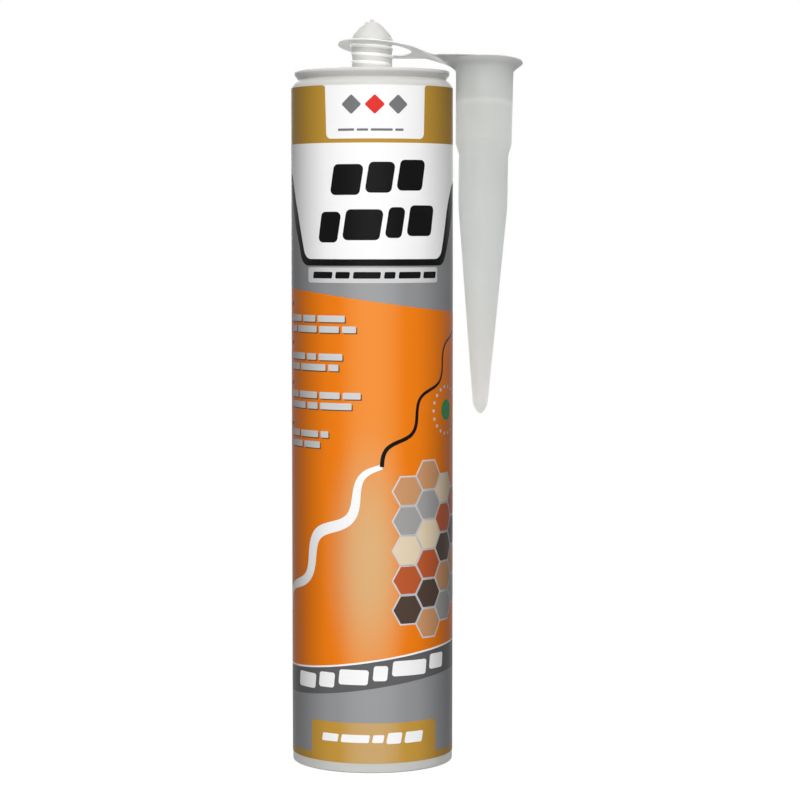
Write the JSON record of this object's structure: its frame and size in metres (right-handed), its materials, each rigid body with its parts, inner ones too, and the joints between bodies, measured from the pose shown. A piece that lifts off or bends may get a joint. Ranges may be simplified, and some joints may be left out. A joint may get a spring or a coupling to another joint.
{
  "type": "caulk tube",
  "caption": "Sealant cartridge with a closed threaded neck, a piston in its open rear end, and an applicator nozzle hung by a tether ring.",
  "frame": {"origin": "centre of the open rear rim, on the tube's axis", "axes": "+Z runs along the tube from the rear rim to the neck; +X points from the tube to the hanging nozzle; the label's front faces -Y"},
  "size_m": [0.0711, 0.0498, 0.2283],
  "materials": {
    "tube_plastic": "satin white polyethylene",
    "label_film": "printed film, orange, grey and gold fields",
    "piston_plastic": "natural polyethylene",
    "paste": "white acrylic paste",
    "nozzle_plastic": "translucent natural polyethylene"
  },
  "bodies": {
    "tube": {"barrel": "tube_plastic", "label": "label_film", "sealant": "paste"},
    "piston": {"piston": "piston_plastic"},
    "nozzle": {"nozzle": "nozzle_plastic"}
  },
  "joints": [
    {"name": "piston_slide", "type": "slide", "parent": "tube", "child": "piston", "axis": [0, 0, 1], "range_m": [0, 0.1615], "deforming": ["sealant"]},
    {"name": "nozzle_swivel", "type": "hinge", "parent": "tube", "child": "nozzle", "pos_m": [0, 0, 0.2195], "axis": [0, 0, 1], "continuous": true}
  ]
}
